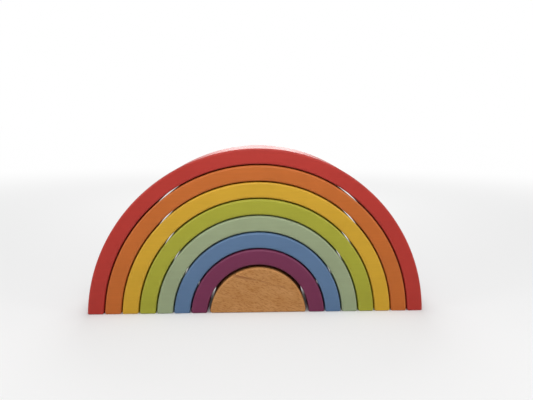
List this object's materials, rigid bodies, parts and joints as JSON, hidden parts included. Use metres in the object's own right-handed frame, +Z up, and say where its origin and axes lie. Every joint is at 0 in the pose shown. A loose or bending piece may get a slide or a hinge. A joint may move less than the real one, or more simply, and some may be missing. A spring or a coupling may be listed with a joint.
{
  "type": "rainbow stacker",
  "caption": "Wooden rainbow stacking toy: painted half-ring arches of even thickness nest round a natural beech half-disc; every piece is loose and slides out of the nest.",
  "frame": {"origin": "on the table, under the middle of the core, midway between the front and back faces", "axes": "+X across the rainbow to its right foot, +Y from the front faces to the back faces, +Z up"},
  "size_m": [0.259, 0.05, 0.1275],
  "materials": {
    "red_painted_wood": "satin",
    "orange_painted_wood": "satin",
    "yellow_painted_wood": "satin",
    "lime_painted_wood": "satin",
    "mint_painted_wood": "satin",
    "blue_painted_wood": "satin",
    "violet_painted_wood": "satin",
    "natural_beech": "matte"
  },
  "bodies": {
    "red_arch": {"red_arch": "red_painted_wood"},
    "orange_arch": {"orange_arch": "orange_painted_wood"},
    "yellow_arch": {"yellow_arch": "yellow_painted_wood"},
    "lime_arch": {"lime_arch": "lime_painted_wood"},
    "mint_arch": {"mint_arch": "mint_painted_wood"},
    "blue_arch": {"blue_arch": "blue_painted_wood"},
    "violet_arch": {"violet_arch": "violet_painted_wood"},
    "core_block": {"core_block": "natural_beech"}
  },
  "joints": [
    {"name": "orange_slide", "type": "slide", "parent": "red_arch", "child": "orange_arch", "axis": [0, 1, 0], "range_m": [-0.06, 0.06]},
    {"name": "yellow_slide", "type": "slide", "parent": "orange_arch", "child": "yellow_arch", "axis": [0, 1, 0], "range_m": [-0.06, 0.06]},
    {"name": "lime_slide", "type": "slide", "parent": "yellow_arch", "child": "lime_arch", "axis": [0, 1, 0], "range_m": [-0.06, 0.06]},
    {"name": "mint_slide", "type": "slide", "parent": "lime_arch", "child": "mint_arch", "axis": [0, 1, 0], "range_m": [-0.06, 0.06]},
    {"name": "blue_slide", "type": "slide", "parent": "mint_arch", "child": "blue_arch", "axis": [0, 1, 0], "range_m": [-0.06, 0.06]},
    {"name": "violet_slide", "type": "slide", "parent": "blue_arch", "child": "violet_arch", "axis": [0, 1, 0], "range_m": [-0.06, 0.06]},
    {"name": "core_slide", "type": "slide", "parent": "violet_arch", "child": "core_block", "axis": [0, 1, 0], "range_m": [-0.06, 0.06]}
  ]
}
